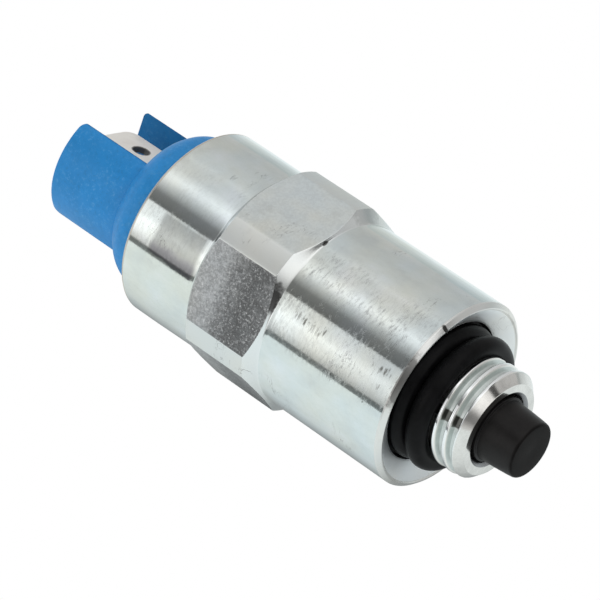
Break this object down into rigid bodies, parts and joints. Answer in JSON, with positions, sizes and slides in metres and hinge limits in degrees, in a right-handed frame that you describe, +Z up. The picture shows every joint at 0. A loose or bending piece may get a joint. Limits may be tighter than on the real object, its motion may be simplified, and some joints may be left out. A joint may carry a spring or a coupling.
{
  "type": "fuel shutoff solenoid",
  "caption": "Screw-in fuel shutoff solenoid: hexagonal steel body with a coil, a threaded nose with two sealing rings, a spring-loaded rubber-tipped plunger and a guarded blade terminal.",
  "frame": {"origin": "centre of the front rim of the body, on the axis", "axes": "+X along the axis towards the plunger tip, +Z up with the part lying on one flat of its hexagon"},
  "size_m": [0.0711, 0.0276, 0.0254],
  "materials": {
    "zinc_steel": "zinc plated, turned",
    "seal_rubber": "satin",
    "blue_plastic": "satin, moulded",
    "tinned_brass": "tinned, satin",
    "core_steel": "bare, turned",
    "brass_shim": "bright",
    "black_plastic": "moulded",
    "copper_wire": "enamelled copper",
    "wrap_film": "film",
    "fibre": "pressed fibre",
    "brass_tube": "drawn",
    "plunger_steel": "ground",
    "tip_rubber": "satin",
    "spring_wire": "drawn wire",
    "lead_copper": "bright copper",
    "red_sleeve": "sleeve"
  },
  "bodies": {
    "body": {"housing": "zinc_steel", "rear_ring": "seal_rubber", "front_ring": "seal_rubber", "connector_body": "blue_plastic", "blade_terminal": "tinned_brass", "collar_seal": "seal_rubber", "end_plate": "core_steel", "fixed_core": "core_steel", "core_shim": "brass_shim", "bobbin": "black_plastic", "winding": "copper_wire", "winding_wrap": "wrap_film", "front_washer": "fibre", "guide_tube": "brass_tube", "return_spring": "spring_wire", "stop_washer": "seal_rubber", "live_lead": "lead_copper", "lead_sleeve": "red_sleeve", "earth_lead": "lead_copper", "terminal_grommet": "black_plastic"},
    "plunger": {"armature": "plunger_steel", "rubber_tip": "tip_rubber"}
  },
  "joints": [
    {"name": "plunger_slide", "type": "slide", "parent": "body", "child": "plunger", "axis": [1, 0, 0], "range_m": [-0.0035, 0], "stiffness_N_per_m": 900, "springref_m": 0.006, "deforming": ["return_spring"]}
  ]
}
